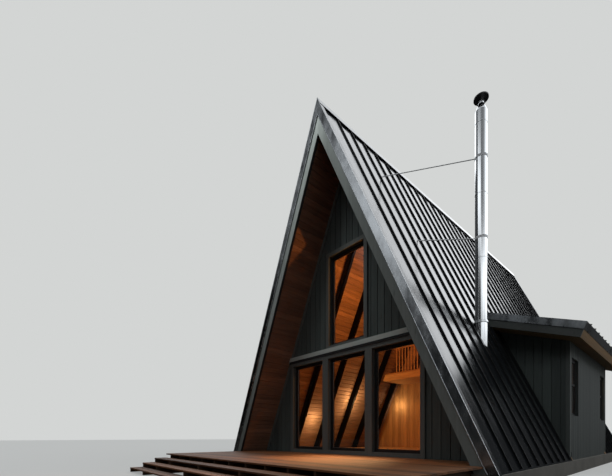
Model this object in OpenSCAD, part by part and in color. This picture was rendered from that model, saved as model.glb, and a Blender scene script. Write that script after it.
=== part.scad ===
// Steep A-frame cabin with a glazed front, a side wing under a shed roof, a flue and a front deck.
// Millimetres, +Z up. The origin is on the ground under the ridge, half way along the roof,
// and the glazed front looks towards -Y.

/* [Main roof] */
// Length of the roof from front rake to rear rake
roof_len = 12700; // [9000:50:16000]
// Half of the outer width where the roof crosses the floor level
half_w = 3732; // [3000:10:4500]
// Slope of the main roof from the horizontal, degrees
pitch = 65.2; // [58:0.1:68]
// Full thickness of the roof, square to the slope
roof_t = 327; // [200:1:400]
// Thickness of the metal pans
pan_t = 6; // [3:1:10]
// Thickness of the board lining under the rafters
lining_t = 20; // [12:1:30]
// Distance that the roof reaches past the front and rear walls
overhang = 1000; // [400:10:1600]

/* [Standing seams] */
// Distance from one seam to the next
seam_pitch = 476; // [300:1:600]
// Distance from the front rake to the first seam
seam_edge = 585; // [150:1:600]
// Distance of the pans below the top of the rakes, which the seams reach
pan_in = 38; // [20:1:50]
// Thickness of a seam's standing leg
seam_w = 8; // [4:1:14]
// Width of the folded head along the top of a seam
seam_head_w = 22; // [15:1:30]
// Height of that head
seam_head_h = 14; // [6:1:18]
// Space between the end of a seam and what it stops at
seam_clear = 14; // [8:1:40]

/* [Rakes and ridge] */
// Height of the metal face on the rake
rake_metal_h = 155; // [100:1:220]
// Thickness of the bent sheet in the trims
sheet_t = 6; // [3:1:10]
// Depth of the metal rake trim in front of the rake board
rake_metal_d = 20; // [12:1:40]
// Width of the trim's top leg over the pans
rake_leg = 110; // [60:1:160]
// Thickness of the wooden rake board
rake_board_t = 40; // [20:1:60]
// Width of each leg of the ridge cap
ridge_leg = 170; // [140:1:260]
// Distance from the ridge to the upper end of the seams
ridge_gap = 90; // [60:1:110]

/* [Floor and foundation] */
// Height of the floor and deck above the ground
floor_h = 420; // [300:5:800]
// Thickness of the floor
floor_t = 120; // [60:5:250]
// Width of the footing under each foot of the roof
footing_w = 400; // [300:10:600]

/* [Walls] */
// Thickness of the outside walls
wall_t = 150; // [100:5:250]
// Height of the belly band's lower edge above the floor
band_z = 2550; // [2300:10:2900]
// Height of the belly band
band_h = 155; // [100:1:250]
// Distance that the belly band stands out from the wall
band_d = 70; // [30:1:120]
// Width of the trim where a wall meets the soffit
soffit_trim_w = 90; // [50:1:140]
// Depth of that trim
soffit_trim_d = 40; // [20:1:80]

/* [Windows] */
// Space between the row of lower windows and the roof lining, at the height of the window heads
row_edge = 244; // [200:1:500]
// Number of lower windows side by side
row_n = 3; // [2:1:4]
// Width of the posts between them
post_w = 200; // [100:1:260]
// Distance that posts and casings stand out from the wall
casing_d = 60; // [20:1:90]
// Height of the opening of the lower windows
row_h = 2440; // [2000:10:2500]
// Height of the sill below the lower windows
sill_h = 90; // [40:1:150]
// Width of the casings
casing_w = 100; // [50:1:150]
// Width of the bars of a window frame
frame_w = 60; // [30:1:90]
// Depth of a window frame
frame_d = 80; // [50:1:110]
// Distance of a window frame behind the wall's face
frame_in = 45; // [10:1:60]
// Thickness of the glass
glass_t = 24; // [6:1:40]
// Width of the upper window's opening
upper_w = 1130; // [700:10:1400]
// Distance from the top of the inside down to the upper window's head
upper_drop = 2262; // [2000:1:3000]
// Height of the upper window's sill board
upper_sill = 60; // [40:1:120]
// Width of a window in the rear wall
rear_w = 1170; // [600:10:1300]
// Height of the lower windows in the rear wall
rear_h = 1300; // [800:10:1600]
// Height of their sill above the floor
rear_sill = 950; // [600:10:1100]

/* [Inside] */
// Depth of the rafters that show below the lining
rafter_d = 190; // [100:5:260]
// Width of a rafter
rafter_w = 90; // [60:1:140]
// Distance from the front rake to the middle of the first rafter
rafter_start = 1985; // [1800:5:2600]
// Distance from one rafter to the next
rafter_pitch = 1030; // [600:5:1400]
// Height of the loft floor above the ground floor
loft_z = 2700; // [2500:10:2900]
// Thickness of the loft floor
loft_t = 200; // [120:5:260]
// Distance from the front wall to the edge of the loft
loft_setback = 4250; // [2500:10:6000]
// Number of the rafter in front of the partition under the loft
partition_bay = 5; // [5:1:8]
// Thickness of the partition
partition_t = 100; // [60:5:150]
// Reach of the partition past the middle of the cabin
partition_reach = 0; // [-800:10:1500]
// Height of the loft railing
rail_h = 950; // [900:10:1100]
// Width and height of the railing's rails
rail_w = 60; // [40:1:90]
// Distance between balusters
baluster_gap = 115; // [90:1:130]
// Thickness of a baluster
baluster_w = 32; // [20:1:45]

/* [Side wing] */
// Distance from the main front rake to the wing's front rake
wing_start = 3900; // [3000:10:5000]
// Distance from the wing's rear rake to the main rear rake
wing_rear = 2570; // [500:10:3000]
// Distance that the wing's roof reaches past its end walls
wing_hang = 730; // [300:10:1000]
// Distance of the wing's side wall inside the foot of the main roof
wing_in = 42; // [0:1:300]
// Reach of the wing's eave past its side wall
eave_out = 448; // [200:1:700]
// Height of the eave's top above the floor
eave_z = 2872; // [2500:10:3000]
// Slope of the wing's roof, degrees
wing_pitch = 20; // [12:0.5:28]
// Width of each leg of the flashing where the wing's roof meets the main roof
flashing_leg = 90; // [60:1:150]
// Width of a window in the wing
wing_window_w = 680; // [300:10:1000]
// Height of a window in the wing
wing_window_h = 1380; // [600:10:1400]
// Height of its sill above the floor
wing_window_sill = 950; // [600:10:1100]
// Height of its cross bar above that sill
wing_window_bar = 740; // [300:10:1000]
// Distance of a wing window from the inner face of the nearest end wall
wing_window_edge = 40; // [0:10:600]

/* [Flue] */
// Diameter of the flue
flue_d = 254; // [150:1:300]
// Distance of the flue inside the foot of the main roof
flue_in = 1302; // [900:1:1900]
// Distance of the flue behind the front rake
flue_y = 2820; // [1500:10:3200]
// Height of the rain cap's top over the ridge
flue_rise = 46; // [20:1:1200]
// Diameter of the rain cap, a flat disc
cap_d = 315; // [280:1:460]
// Thickness of that disc
cap_h = 25; // [10:1:60]
// Diameter of the neck that carries the cap
neck_d = 125; // [100:1:200]
// Height of the neck
neck_h = 118; // [60:1:200]
// Height of the cone under the neck
cone_h = 170; // [80:1:220]
// Radius of the boot where it meets the ridge side of the roof
boot_r = 155; // [145:1:260]
// Height of the boot's top over the roof
boot_top = 281; // [120:1:400]
// Diameter of the storm collar
collar_d = 310; // [290:1:400]
// Height of the storm collar
collar_h = 60; // [40:1:90]
// Distance of the upper stay below the ridge
stay_high_drop = 1310; // [900:1:1800]
// Distance of the lower stay below the ridge
stay_low_drop = 3140; // [2600:1:3800]
// Number of the seam in front of the stays' feet, counted from the front rake
stay_seam = 3; // [2:1:4]
// Distance of the upper stay's foot behind that seam
stay_high_foot = 45; // [45:1:120]
// Distance of the lower stay's foot behind that seam
stay_low_foot = 260; // [240:1:375]
// Diameter of a stay
stay_d = 20; // [12:1:30]
// Height of the band that a stay is fixed to
stay_band_h = 50; // [30:1:90]
// Length of the plate under a stay's foot
foot_plate_l = 110; // [60:1:160]
// Width of that plate
foot_plate_w = 70; // [40:1:80]
// Space between the flue and what sits round it
flue_gap = 0.3; // [0.2:0.1:2]

/* [Deck and steps] */
// Distance from the front rake to the deck's front edge
deck_out = 2100; // [1200:10:3000]
// Distance of the deck's side edges inside the foot of the main roof
deck_in = 172; // [60:1:500]
// Thickness of the deck boards and treads
board_t = 30; // [20:1:45]
// Height of one riser
riser = 105; // [90:1:180]
// Depth of one tread
going = 290; // [250:1:400]
// Thickness of joists and stringers
joist_w = 45; // [35:1:60]
// Height of joists and beams
joist_h = 145; // [100:1:150]
// Distance between joists
joist_gap = 590; // [400:10:700]
// Distance between stringers
stringer_gap = 1590; // [800:10:1800]
// Place of the stringer nearest the middle
stringer_mid = 650; // [-800:10:800]
// Distance that the deck boards reach past the deck frame
deck_nose = 45; // [10:1:80]

/* [Hidden] */
$fn = 48;

charcoal = "#2c3033";
wall_paint = "#4a524f";
trim_paint = "#5b615e";
cedar = "#a5673f";
deck_wood = "#9a5f45";
black_paint = "#1c1d1e";
steel = "#c9cdd0";
concrete = "#8f8f8b";
pane = "#8fb0b8";

// Heights from the ground
foot_z = floor_h - floor_t;
slope_tan = tan(pitch);
slope_cos = cos(pitch);
slope_sin = sin(pitch);
apex_z = floor_h + half_w * slope_tan;
slope_len = (apex_z - foot_z) / slope_sin;
slab_in = pan_in + pan_t;
seam_h = pan_in + sheet_t;
far = 20000;

// Places along the building
front_y = -roof_len / 2;
rear_y = roof_len / 2;
wall_y = front_y + overhang;
slab_y = front_y + rake_metal_d + rake_board_t;
seam_n = floor((roof_len - seam_edge - rake_leg - seam_head_w - seam_clear) / seam_pitch);
seam_ys = [for (i = [0:seam_n]) front_y + seam_edge + i * seam_pitch];

rafter_n = floor((roof_len - rafter_start - overhang - wall_t - rafter_w) / rafter_pitch);
rafter_ys = [for (i = [0:rafter_n]) front_y + rafter_start + i * rafter_pitch];
loft_y = wall_y + loft_setback;
partition_y = rafter_ys[partition_bay - 1] + (rafter_pitch - partition_t) / 2;
deck_y = front_y - deck_out;
deck_half = half_w - deck_in;
step_n = round(floor_h / riser) - 1;

// Places of the side wing
wing_x = half_w - wing_in;
eave_x = wing_x + eave_out;
wing_y0 = front_y + wing_start;
wing_y1 = rear_y - wing_rear;
cheek_y0 = wing_y0 + wing_hang;
cheek_y1 = wing_y1 - wing_hang;
wing_tan = tan(wing_pitch);
wing_cos = cos(wing_pitch);

// Height of a line under the main roof's outer face, at a depth square to the slope
function roof_z(x, depth) = apex_z - depth / slope_cos - slope_tan * x;
function roof_x(z, depth) = (apex_z - depth / slope_cos - z) / slope_tan;
// Height of a line under the wing roof's outer face
function wing_z(x, depth) = floor_h + eave_z + wing_tan * (eave_x - x) - depth / wing_cos;

// Where a depth line of the wing's roof meets the main pans
function meet_x(depth) = (apex_z - slab_in / slope_cos - wing_z(0, depth)) / (slope_tan - wing_tan);
joint_x = meet_x(0);

// Windows as [left, right, bottom, top] seen from the front, heights from the ground
row_w = 2 * floor(roof_x(floor_h + row_h, roof_t) - row_edge);
unit_w = (row_w - (row_n - 1) * post_w) / row_n;
unit_x = [for (i = [0:row_n - 1]) -row_w / 2 + i * (unit_w + post_w)];
upper_z = floor_h + band_z + band_h + upper_sill;
lower_windows = [for (x = unit_x) [x, x + unit_w, floor_h + sill_h, floor_h + row_h]];
upper_window = [-upper_w / 2, upper_w / 2, upper_z, roof_z(0, roof_t) - upper_drop];
rear_x = row_w / 2 - rear_w;
rear_z = floor_h + rear_sill;
rear_windows = [for (x = [-row_w / 2, rear_x]) [x, x + rear_w, rear_z, rear_z + rear_h]];
wing_sill_z = floor_h + wing_window_sill;
wing_window_y = [cheek_y0 + wall_t + wing_window_edge, cheek_y1 - wall_t - wing_window_edge - wing_window_w];

// The flue's own places, with heights from the ground
flue_x = half_w - flue_in;
flue_at = [flue_x, front_y + flue_y, 0];
flue_foot = roof_z(flue_x, pan_in);
collar_z = flue_foot + boot_top;
cap_z = apex_z + flue_rise - cap_h;
neck_z = cap_z - neck_h;
stay_y = seam_ys[stay_seam - 1];

// Extrudes a profile drawn in X and Z from y0 to y1
module along_y(y0, y1) {
    translate([0, y1, 0]) rotate([90, 0, 0]) linear_extrude(y1 - y0) children();
}

module both_sides() {
    children();
    mirror([1, 0, 0]) children();
}

module both_ends() {
    children();
    mirror([0, 1, 0]) children();
}

// The right half of a layer of the main roof, between two depths
module layer(depth0, depth1) {
    polygon([[0, roof_z(0, depth0)], [roof_x(foot_z, depth0), foot_z],
        [roof_x(foot_z, depth1), foot_z], [0, roof_z(0, depth1)]]);
}

// What lies under a depth line between two heights, on both sides of the ridge
module under_roof(depth, z0, z1) {
    top = min(z1, roof_z(0, depth));
    polygon([[-roof_x(z0, depth), z0], [roof_x(z0, depth), z0],
        [roof_x(top, depth), top], [-roof_x(top, depth), top]]);
}

// Everything below a depth line of the wing's roof
module under_wing(depth) {
    polygon([[0, 0], [0, wing_z(0, depth)], [2 * eave_x, wing_z(2 * eave_x, depth)], [2 * eave_x, 0]]);
}

module rect(w) {
    translate([w[0], w[2]]) square([w[1] - w[0], w[3] - w[2]]);
}

// A window's outline grown or shrunk by a margin
function grown(w, m) = [w[0] - m, w[1] + m, w[2] - m, w[3] + m];

module ring(w, m) {
    difference() {
        rect(w);
        rect(grown(w, -m));
    }
}

// The main roof's own frame: X runs down the slope from the ridge, Z points out of it
module on_slope() {
    translate([0, 0, apex_z]) rotate([0, pitch, 0]) children();
}

// The same frame in a profile, where Y points out of the slope
module slope_profile() {
    translate([0, apex_z]) rotate(-pitch) children();
}

module foundation_slab() color(concrete)
    translate([footing_w - roof_x(foot_z, 0), wall_y, 0])
        cube([2 * (roof_x(foot_z, 0) - footing_w), -2 * wall_y, foot_z]);

module footings() color(concrete) both_sides()
    translate([roof_x(foot_z, 0) - footing_w, front_y + rake_metal_d, 0])
        cube([footing_w, roof_len - 2 * rake_metal_d, foot_z]);

module floor() color(cedar) union() {
    along_y(wall_y, -wall_y) under_roof(roof_t, foot_z, floor_h);
    translate([roof_x(floor_h, roof_t) / 2, cheek_y0 + wall_t, foot_z])
        cube([wing_x - wall_t - roof_x(floor_h, roof_t) / 2, cheek_y1 - cheek_y0 - 2 * wall_t, floor_t]);
}

module roof_left() color(charcoal) mirror([1, 0, 0]) along_y(slab_y, -slab_y) layer(slab_in, roof_t - lining_t);

module roof_right_upper() color(charcoal) along_y(slab_y, -slab_y) difference() {
    layer(slab_in, roof_t - lining_t);
    under_wing(roof_t);
}

module roof_right_lower() color(charcoal) {
    for (y = [[slab_y, cheek_y0 + wall_t], [cheek_y1 - wall_t, -slab_y]])
        along_y(y[0], y[1]) intersection() {
            layer(slab_in, roof_t - lining_t);
            under_wing(roof_t);
        }
}

module lining() color(cedar) difference() {
    along_y(slab_y, -slab_y) both_sides() layer(roof_t - lining_t, roof_t);
    along_y(cheek_y0 + wall_t, cheek_y1 - wall_t) intersection() {
        under_wing(roof_t);
        translate([1, 0]) square(far);
    }
}

// Seams of the main roof on its right half: a standing leg with its head folded over to the rear
module seams() {
    on_slope() for (y = seam_ys)
        translate([ridge_gap, y - seam_w / 2, -pan_in]) rotate([90, 0, 90])
            linear_extrude(slope_len - ridge_gap - slab_in) {
                translate([0, -pan_t / 2]) square([seam_w, seam_h + pan_t / 2]);
                translate([0, seam_h - seam_head_h]) square([seam_head_w, seam_head_h]);
            }
}

module metal_roof_left() color(charcoal) mirror([1, 0, 0]) union() {
    along_y(front_y + sheet_t, rear_y - sheet_t) layer(pan_in, slab_in);
    seams();
}

module metal_roof_right() color(charcoal) difference() {
    union() {
        along_y(front_y + sheet_t, rear_y - sheet_t) layer(pan_in, slab_in);
        difference() {
            seams();
            translate(flue_at) cylinder(h = far, r = boot_r + seam_clear);
            along_y(wing_y0, wing_y1) difference() {
                under_wing(-flashing_leg);
                under_wing(roof_t);
            }
        }
    }
    along_y(wing_y0, wing_y1) difference() {
        under_wing(-sheet_t);
        under_wing(roof_t);
    }
    along_y(cheek_y0, cheek_y1) under_wing(roof_t);
}

// Bent sheet over the line where the wing's roof meets the main roof
module wing_flashing() color(charcoal) along_y(wing_y0 + rake_leg, wing_y1 - rake_leg) union() {
    difference() {
        intersection() {
            layer(pan_in - sheet_t, pan_in);
            under_wing(-flashing_leg + seam_clear);
        }
        under_wing(0);
    }
    difference() {
        wing_slab(-sheet_t, 0, 0);
        translate([joint_x + flashing_leg, 0]) square(far);
    }
}

// A bent cap on the rakes and the seams, with a closure strip under each leg where the seams end
module ridge_cap() color(trim_paint) both_sides() {
    along_y(front_y, rear_y) intersection() {
        slope_profile() translate([-ridge_leg, sheet_t]) square([2 * ridge_leg, sheet_t]);
        square(far);
    }
    along_y(front_y + rake_leg, rear_y - rake_leg)
        slope_profile() translate([ridge_gap - seam_clear - sheet_t, -pan_in])
            square([sheet_t, seam_h + sheet_t / 2]);
}

// The metal face, its bottom hem and its top leg, which stands on the pans
module rake_trims() color(charcoal) both_ends() both_sides() {
    along_y(front_y, front_y + sheet_t) layer(-sheet_t, rake_metal_h);
    along_y(front_y, front_y + rake_leg) layer(-sheet_t, 0);
    along_y(front_y + rake_leg - sheet_t, front_y + rake_leg) layer(-sheet_t, pan_in);
    along_y(front_y, front_y + rake_metal_d) layer(rake_metal_h - sheet_t, rake_metal_h);
}

module rake_boards() color(trim_paint) both_ends() both_sides()
    along_y(front_y + rake_metal_d, slab_y) layer(slab_in, roof_t);

module front_wall_upper() color(wall_paint) along_y(wall_y, wall_y + wall_t) difference() {
    under_roof(roof_t, floor_h + row_h, far);
    rect(upper_window);
}

module front_wall_lower() color(wall_paint) along_y(wall_y, wall_y + wall_t) difference() {
    under_roof(roof_t, floor_h, floor_h + row_h);
    translate([-row_w / 2, 0]) square([row_w, far]);
}

module front_posts() color(trim_paint)
    for (i = [1:row_n - 1])
        translate([unit_x[i] - post_w, wall_y - casing_d, floor_h]) cube([post_w, wall_t + casing_d, row_h]);

module belly_bands() color(trim_paint) both_ends()
    along_y(wall_y - band_d, wall_y) under_roof(roof_t, floor_h + band_z, floor_h + band_z + band_h);

module soffit_trims() color(trim_paint) both_ends() {
    along_y(wall_y - soffit_trim_d, wall_y) difference() {
        both_sides() layer(roof_t, roof_t + soffit_trim_w);
        translate([-far, 0]) square([2 * far, floor_h]);
        translate([-far, floor_h + band_z]) square([2 * far, band_h]);
    }
}

module front_window_casings() color(trim_paint) {
    head = [-row_w / 2 - casing_w, row_w / 2 + casing_w, floor_h + row_h, floor_h + band_z];
    along_y(wall_y - casing_d, wall_y) union() {
        intersection() {
            rect(head);
            under_roof(roof_t + soffit_trim_w, floor_h, far);
        }
        for (x = [head[0], row_w / 2]) translate([x, floor_h]) square([casing_w, row_h]);
    }
    for (x = unit_x) translate([x, wall_y - casing_d, floor_h]) cube([unit_w, wall_t + casing_d, sill_h]);
    upper_casing();
}

module upper_casing() {
    outer = [upper_window[0] - casing_w, upper_window[1] + casing_w,
        floor_h + band_z + band_h, upper_window[3] + casing_w];
    along_y(wall_y - casing_d, wall_y) difference() {
        rect(outer);
        rect(upper_window);
    }
}

module frame_at(w) {
    along_y(wall_y + frame_in, wall_y + frame_in + frame_d) ring(w, frame_w);
}

module glass_at(w) {
    y = wall_y + frame_in + frame_d / 2;
    along_y(y - glass_t / 2, y + glass_t / 2) rect(grown(w, -frame_w));
}

module front_window_frames() color(black_paint) {
    for (w = lower_windows) frame_at(w);
    frame_at(upper_window);
}

module front_window_glass() color(pane) {
    for (w = lower_windows) glass_at(w);
    glass_at(upper_window);
}

module rear_wall() color(wall_paint) mirror([0, 1, 0]) along_y(wall_y, wall_y + wall_t) difference() {
    under_roof(roof_t, floor_h, far);
    rect(upper_window);
    for (w = rear_windows) rect(w);
}

module rear_window_casings() color(trim_paint) mirror([0, 1, 0]) {
    upper_casing();
    for (w = rear_windows) along_y(wall_y - casing_d, wall_y) difference() {
        rect(grown(w, casing_w));
        rect(w);
    }
}

module rear_window_frames() color(black_paint) mirror([0, 1, 0]) {
    for (w = rear_windows) frame_at(w);
    frame_at(upper_window);
}

module rear_window_glass() color(pane) mirror([0, 1, 0]) {
    for (w = rear_windows) glass_at(w);
    glass_at(upper_window);
}

module rafter() {
    difference() {
        layer(roof_t, roof_t + rafter_d);
        square([far, floor_h]);
    }
}

module rafters_left() color(black_paint) mirror([1, 0, 0])
    for (y = rafter_ys) along_y(y - rafter_w / 2, y + rafter_w / 2) rafter();

// On the right the rafters stop where the main roof opens into the wing
module rafters_right() color(black_paint)
    for (y = rafter_ys) along_y(y - rafter_w / 2, y + rafter_w / 2) difference() {
        rafter();
        if (y > cheek_y0 && y < cheek_y1) under_wing(roof_t);
    }

module loft_floor() color(cedar) along_y(loft_y, -wall_y - wall_t)
    under_roof(roof_t + rafter_d, floor_h + loft_z - loft_t, floor_h + loft_z);

// A boarded partition under the loft, from the left slope to a free end near the middle
module partition() color(cedar) along_y(partition_y, partition_y + partition_t) difference() {
    under_roof(roof_t, floor_h, floor_h + loft_z - loft_t);
    translate([partition_reach, 0]) square(far);
}

module loft_railing() color(cedar) {
    base = floor_h + loft_z;
    half = roof_x(base + rail_h, roof_t + rafter_d);
    count = floor(2 * half / baluster_gap);
    y0 = loft_y + rail_w;
    y1 = y0 + (rail_w - baluster_w) / 2;
    along_y(y0, y0 + rail_w) difference() {
        under_roof(roof_t + rafter_d, base, base + rail_h);
        translate([-far, base + rail_w]) square([2 * far, rail_h - 2 * rail_w]);
    }
    for (i = [0:count])
        translate([-half - baluster_w / 2 + i * 2 * half / count, y1, base + rail_w / 2])
            cube([baluster_w, baluster_w, rail_h - rail_w]);
}

module wing_end_walls() color(wall_paint)
    for (y = [cheek_y0, cheek_y1 - wall_t]) along_y(y, y + wall_t)
        polygon([[meet_x(roof_t), wing_z(meet_x(roof_t), roof_t)],
            [wing_x, wing_z(wing_x, roof_t)], [wing_x, roof_z(wing_x, slab_in)]]);

// The wing's side wall, which faces +X, with a window near each end
module wing_side_wall() color(wall_paint) difference() {
    along_y(cheek_y0 + wall_t, cheek_y1 - wall_t) intersection() {
        under_wing(roof_t);
        translate([wing_x - wall_t, foot_z]) square([wall_t, far]);
    }
    for (y = wing_window_y)
        translate([wing_x - 2 * wall_t, y, wing_sill_z]) cube([3 * wall_t, wing_window_w, wing_window_h]);
}

// A layer of the wing's roof between two depths, held back from its eave
module wing_slab(depth0, depth1, cut) {
    difference() {
        translate([eave_x, floor_h + eave_z]) rotate(-wing_pitch)
            translate([-eave_x, -depth1]) square([eave_x - cut, depth1 - depth0]);
        under_roof(slab_in, 0, far);
    }
}

module wing_roof() color(charcoal)
    along_y(wing_y0 + rake_metal_d + rake_board_t, wing_y1 - rake_metal_d - rake_board_t)
        wing_slab(pan_t, roof_t, sheet_t);

module wing_metal_roof() color(charcoal) union() {
    along_y(wing_y0 + sheet_t, wing_y1 - sheet_t) wing_slab(0, pan_t, sheet_t);
    for (y = seam_ys) if (y > wing_y0 + rake_leg + seam_w && y < wing_y1 - rake_leg - seam_head_w)
        difference() {
            union() {
                along_y(y - seam_w / 2, y + seam_w / 2) wing_slab(-seam_h, pan_t / 2, sheet_t);
                along_y(y - seam_w / 2, y - seam_w / 2 + seam_head_w)
                    wing_slab(-seam_h, -seam_h + seam_head_h, sheet_t);
            }
            along_y(wing_y0, wing_y1) square([joint_x + flashing_leg, far]);
        }
}

// Trims of the wing: both rakes and the eave
module wing_trims() color(charcoal) {
    for (side = [0, 1]) translate([0, side * (wing_y0 + wing_y1), 0]) mirror([0, side, 0]) {
        along_y(wing_y0, wing_y0 + sheet_t) wing_slab(-sheet_t, rake_metal_h, 0);
        along_y(wing_y0, wing_y0 + rake_leg) wing_slab(-sheet_t, 0, 0);
        along_y(wing_y0, wing_y0 + rake_metal_d) wing_slab(rake_metal_h - sheet_t, rake_metal_h, 0);
    }
    along_y(wing_y0, wing_y1) difference() {
        wing_slab(-sheet_t, rake_metal_h, 0);
        wing_slab(-2 * sheet_t, rake_metal_h + sheet_t, sheet_t);
    }
}

module wing_boards() color(trim_paint)
    for (y = [wing_y0 + rake_metal_d, wing_y1 - rake_metal_d - rake_board_t])
        along_y(y, y + rake_board_t) wing_slab(pan_t, roof_t, sheet_t);

// The panes of the wing's windows, under and over the cross bar, drawn in Y and Z
module wing_panes() {
    w = wing_window_w - 2 * frame_w;
    for (y = wing_window_y) translate([y + frame_w, wing_sill_z]) {
        translate([0, frame_w]) square([w, wing_window_bar - frame_w]);
        translate([0, wing_window_bar + frame_w]) square([w, wing_window_h - wing_window_bar - 2 * frame_w]);
    }
}

// Extrudes a profile drawn in Y and Z from x0 to x1
module along_x(x0, x1) {
    translate([x0, 0, 0]) rotate([90, 0, 90]) linear_extrude(x1 - x0) children();
}

module wing_window_frames() color(black_paint)
    along_x(wing_x - frame_in - frame_d, wing_x - frame_in) difference() {
        for (y = wing_window_y) translate([y, wing_sill_z]) square([wing_window_w, wing_window_h]);
        wing_panes();
    }

module wing_window_glass() color(pane)
    along_x(wing_x - frame_in - (frame_d + glass_t) / 2, wing_x - frame_in - (frame_d - glass_t) / 2)
        wing_panes();

// The flue stands on the pans, so its pieces are cut to the slope
module above_slope(depth) {
    difference() {
        children();
        along_y(front_y, rear_y) under_roof(depth, 0, far);
    }
}

// The pipe with the cone and neck on its top
module flue_pipe() color(steel) above_slope(pan_in) translate(flue_at) rotate_extrude()
    polygon([[0, floor_h], [flue_d / 2, floor_h], [flue_d / 2, neck_z - cone_h],
        [neck_d / 2, neck_z], [neck_d / 2, cap_z], [0, cap_z]]);

module flue_cap() color(black_paint) translate(flue_at + [0, 0, cap_z]) cylinder(h = cap_h, d = cap_d);

module flue_flashing() color(steel) difference() {
    above_slope(pan_in) translate(flue_at) union() {
        translate([0, 0, flue_foot - slope_tan * boot_r - slab_in])
            cylinder(h = slope_tan * boot_r + slab_in + boot_top, r1 = boot_r, r2 = flue_d / 2 + sheet_t);
        translate([0, 0, collar_z]) cylinder(h = collar_h, d1 = collar_d, d2 = flue_d + 2 * sheet_t);
    }
    translate(flue_at) cylinder(h = far, d = flue_d + 2 * flue_gap);
}

// A level stay from a band on the flue into a plate on the pans, at a depth below the ridge
module stay(drop, foot_y) {
    z = apex_z - drop;
    run = [roof_x(z, pan_in) - flue_x, foot_y - flue_at[1], 0];
    above_slope(pan_in - sheet_t / 2) translate(flue_at + [0, 0, z]) rotate([0, 90, atan2(run[1], run[0])])
        cylinder(h = norm(run) + stay_d, d = stay_d);
    translate(flue_at + [0, 0, z - stay_band_h / 2]) cylinder(h = stay_band_h, d = flue_d + 2 * sheet_t);
    on_slope() translate([drop / slope_sin - foot_plate_l / 2, foot_y - foot_plate_w / 2, -pan_in])
        cube([foot_plate_l, foot_plate_w, sheet_t]);
}

module flue_stays() color(steel) difference() {
    union() {
        stay(stay_high_drop, stay_y + stay_high_foot);
        stay(stay_low_drop, stay_y + stay_low_foot);
    }
    translate(flue_at) cylinder(h = far, d = flue_d + 2 * flue_gap);
}

module deck_boards() color(deck_wood) union() {
    translate([-deck_half, deck_y, floor_h - board_t]) cube([2 * deck_half, deck_out, board_t]);
    along_y(front_y - 1, wall_y) under_roof(roof_t, floor_h - board_t, floor_h);
}

// The deck's frame lies between the feet of the roof and ends at the front wall
frame_half = roof_x(floor_h, roof_t);
frame_y = deck_y + deck_nose;
frame_len = wall_y - frame_y;
frame_z = floor_h - board_t - joist_h;

module deck_joists() color(cedar) {
    count = round((2 * frame_half - joist_w) / joist_gap);
    for (i = [0:count])
        translate([-frame_half + i * (2 * frame_half - joist_w) / count, frame_y, frame_z])
            cube([joist_w, frame_len, joist_h]);
}

// Doubled beams on the ground: front, middle and rear
module deck_beams() color(cedar)
    for (i = [0:2])
        translate([-frame_half, frame_y + i * (frame_len - 2 * joist_w) / 2, 0])
            cube([2 * frame_half, 2 * joist_w, frame_z]);

module step_treads() color(deck_wood)
    for (i = [1:step_n])
        translate([-deck_half, deck_y - i * going, floor_h - i * riser - board_t])
            cube([2 * deck_half, going, board_t]);

// Notched stringers, one inside each end of the steps and one under each joint between
module step_stringers() color(cedar) {
    under = floor_h - board_t;
    middles = [for (i = [-2:1]) stringer_mid + i * stringer_gap];
    for (x = concat([joist_w - deck_half], middles, [deck_half - joist_w]))
        along_x(x - joist_w / 2, x + joist_w / 2)
            polygon(concat([[frame_y, 0], [frame_y, under - riser]],
                [for (i = [1:step_n]) each [[deck_y - (i - 1) * going, under - i * riser],
                    [deck_y - i * going, under - i * riser]]],
                [[deck_y - step_n * going, 0]]));
}

foundation_slab();
footings();
floor();
roof_left();
roof_right_upper();
roof_right_lower();
lining();
metal_roof_left();
metal_roof_right();
ridge_cap();
rake_trims();
rake_boards();
front_wall_upper();
front_wall_lower();
front_posts();
belly_bands();
soffit_trims();
front_window_casings();
front_window_frames();
front_window_glass();
rear_wall();
rear_window_casings();
rear_window_frames();
rear_window_glass();
rafters_left();
rafters_right();
loft_floor();
loft_railing();
partition();
wing_end_walls();
wing_side_wall();
wing_roof();
wing_metal_roof();
wing_flashing();
wing_trims();
wing_boards();
wing_window_frames();
wing_window_glass();
flue_pipe();
flue_cap();
flue_flashing();
flue_stays();
deck_boards();
deck_joists();
deck_beams();
step_treads();
step_stringers();
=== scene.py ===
"""Builds the looks of a timber A-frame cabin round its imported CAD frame.

Lengths are in metres unless a name says mm. Places are in the frame's own axes, with +Z up.
"""

import math

import bpy
from mathutils import Matrix, Vector


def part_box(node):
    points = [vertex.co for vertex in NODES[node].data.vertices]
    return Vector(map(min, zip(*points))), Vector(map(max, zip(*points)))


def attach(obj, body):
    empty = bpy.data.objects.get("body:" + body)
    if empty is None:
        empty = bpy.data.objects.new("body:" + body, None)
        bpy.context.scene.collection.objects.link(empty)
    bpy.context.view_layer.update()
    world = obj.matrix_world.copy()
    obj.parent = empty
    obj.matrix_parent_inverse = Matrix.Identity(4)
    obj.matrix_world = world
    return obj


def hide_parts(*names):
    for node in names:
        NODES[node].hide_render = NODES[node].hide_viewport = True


bl_info = {
    "name": "A-frame Cabin",
    "version": (1, 0, 0),
    "blender": (4, 5, 0),
    "location": "View3D > Sidebar > Cabin",
    "description": "Boards, linings, glazing details, finishes and studio light for a timber A-frame cabin",
    "category": "Object",
}

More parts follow.
